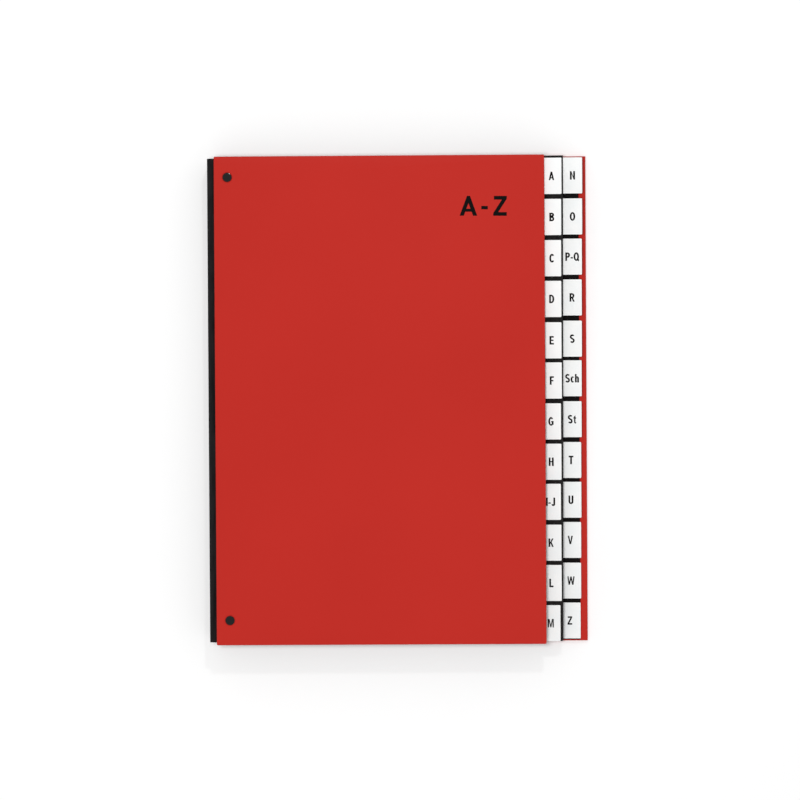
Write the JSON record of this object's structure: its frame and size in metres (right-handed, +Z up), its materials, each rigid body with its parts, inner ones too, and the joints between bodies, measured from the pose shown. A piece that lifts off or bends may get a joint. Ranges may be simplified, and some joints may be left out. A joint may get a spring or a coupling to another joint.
{
  "type": "alphabetical desk sorter",
  "caption": "Desk sorter with board covers hinged on a cloth bellows spine, holding card dividers whose index tabs step down the fore edge in staggered columns.",
  "frame": {"origin": "under the middle of the closed sorter's bounding box, at the height of the back cover's rivet heads, which are its lowest points", "axes": "+Z up through the closed sorter from back cover to front cover, +Y towards the head of the pages, +X from the spine towards the index tabs"},
  "size_m": [0.264, 0.34, 0.0327],
  "materials": {
    "cover_board": "satin",
    "lining_paper": "matte",
    "spine_cloth": "matte",
    "divider_card": "matte",
    "label_film": "gloss",
    "rivet_plastic": "gloss"
  },
  "bodies": {
    "back_cover": {"back_cover": "cover_board", "back_lining": "lining_paper", "back_hinge_cloth": "spine_cloth", "back_rivet_upper": "rivet_plastic", "back_rivet_lower": "rivet_plastic"},
    "block": {"spine_bellows": "spine_cloth", "divider_a": "divider_card", "divider_b": "divider_card", "divider_c": "divider_card", "divider_d": "divider_card", "divider_e": "divider_card", "divider_f": "divider_card", "divider_g": "divider_card", "divider_h": "divider_card", "divider_ij": "divider_card", "divider_k": "divider_card", "divider_l": "divider_card", "divider_m": "divider_card", "divider_n": "divider_card", "divider_o": "divider_card", "divider_pq": "divider_card", "divider_r": "divider_card", "divider_s": "divider_card", "divider_sch": "divider_card", "divider_st": "divider_card", "divider_t": "divider_card", "divider_u": "divider_card", "divider_v": "divider_card", "divider_w": "divider_card", "divider_z": "divider_card", "label_a": "label_film", "label_b": "label_film", "label_c": "label_film", "label_d": "label_film", "label_e": "label_film", "label_f": "label_film", "label_g": "label_film", "label_h": "label_film", "label_ij": "label_film", "label_k": "label_film", "label_l": "label_film", "label_m": "label_film", "label_n": "label_film", "label_o": "label_film", "label_pq": "label_film", "label_r": "label_film", "label_s": "label_film", "label_sch": "label_film", "label_st": "label_film", "label_t": "label_film", "label_u": "label_film", "label_v": "label_film", "label_w": "label_film", "label_z": "label_film"},
    "front_cover": {"front_cover": "cover_board", "front_lining": "lining_paper", "front_hinge_cloth": "spine_cloth", "front_rivet_upper": "rivet_plastic", "front_rivet_lower": "rivet_plastic"}
  },
  "joints": [
    {"name": "front_cover_hinge", "type": "hinge", "parent": "block", "child": "front_cover", "pos_m": [-0.1298, 0, 0.02991], "axis": [0, -1, 0], "range_deg": [0, 180]},
    {"name": "back_cover_hinge", "type": "hinge", "parent": "block", "child": "back_cover", "pos_m": [-0.1298, 0, 0.00284], "axis": [0, 1, 0], "range_deg": [0, 180]}
  ]
}
